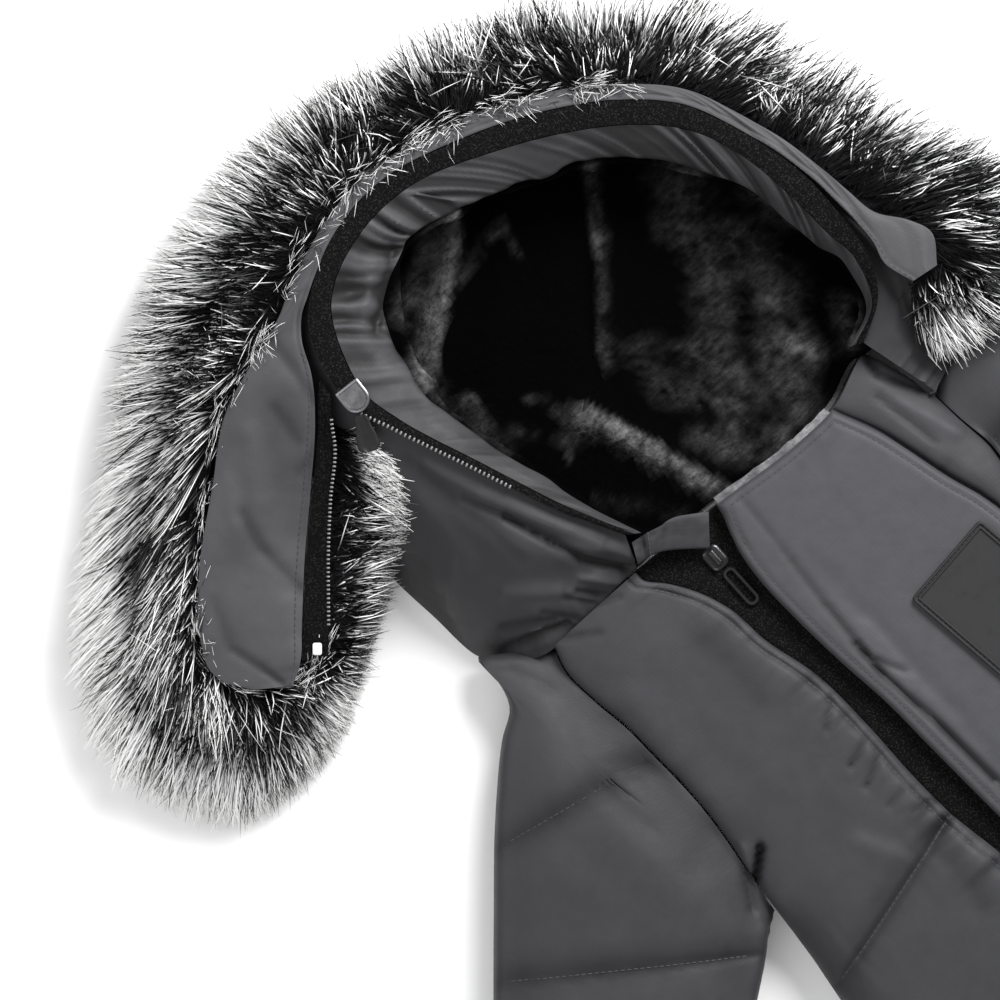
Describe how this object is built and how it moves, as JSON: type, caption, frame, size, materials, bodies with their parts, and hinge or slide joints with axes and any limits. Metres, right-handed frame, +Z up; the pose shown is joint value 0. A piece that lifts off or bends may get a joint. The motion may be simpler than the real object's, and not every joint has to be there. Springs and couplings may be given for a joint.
{
  "type": "baby bunting bag",
  "caption": "Hooded, quilted baby bunting bag laid on its back: sack with sleeves, off-centre zip under a wide storm flap, plush-lined hood opened like a bowl, zip-off fur trim half undone.",
  "frame": {"origin": "on the flat underside of the back panel, on the centre line, level with the front zip's slider", "axes": "+X to the wearer's left, +Y from the sack towards the hood, +Z up, away from the surface it lies on"},
  "size_m": [0.5823, 0.7628, 0.0787],
  "materials": {
    "shell": "dark grey padded nylon with a soft satin sheen",
    "plush": "black short-pile plush",
    "fur": "long-haired faux fur, black at the roots and silver-white at the tips",
    "woven_tape": "black woven zip tape",
    "rubber": "matt black moulded rubber",
    "black_metal": "glossy black enamel",
    "grey_metal": "grey satin metal",
    "white_plastic": "white moulded plastic"
  },
  "bodies": {
    "garment": {"back_panel": "shell", "front_left": "shell", "front_right": "shell", "storm_flap": "shell", "flap_lining": "plush", "zip_tape_left": "woven_tape", "zip_tape_right": "woven_tape", "front_slider": "black_metal", "neck_tab": "shell", "rubber_label": "rubber", "sleeve_left": "shell", "sleeve_right": "shell", "hood_back": "shell", "hood_side_right": "shell", "hood_crown": "shell", "hood_side_left": "shell", "hood_zip_tape": "woven_tape", "hood_facing": "shell", "hood_lining": "plush", "hood_slider": "grey_metal", "trim_strip": "shell", "trim_zip_tape": "woven_tape", "fur_trim": "fur", "end_stop": "white_plastic"},
    "front_zip_pull": {"front_pull": "black_metal"},
    "hood_zip_pull": {"hood_pull": "rubber"}
  },
  "joints": [
    {"name": "front_pull_hinge", "type": "hinge", "parent": "garment", "child": "front_zip_pull", "pos_m": [-0.0185, -0.0075, 0.02905], "axis": [-1, 0, 0], "range_deg": [0, 90]},
    {"name": "hood_pull_hinge", "type": "hinge", "parent": "garment", "child": "hood_zip_pull", "pos_m": [-0.09459, 0.15563, 0.0762], "axis": [-0.8988, 0.4384, 0], "range_deg": [0, 90]}
  ]
}
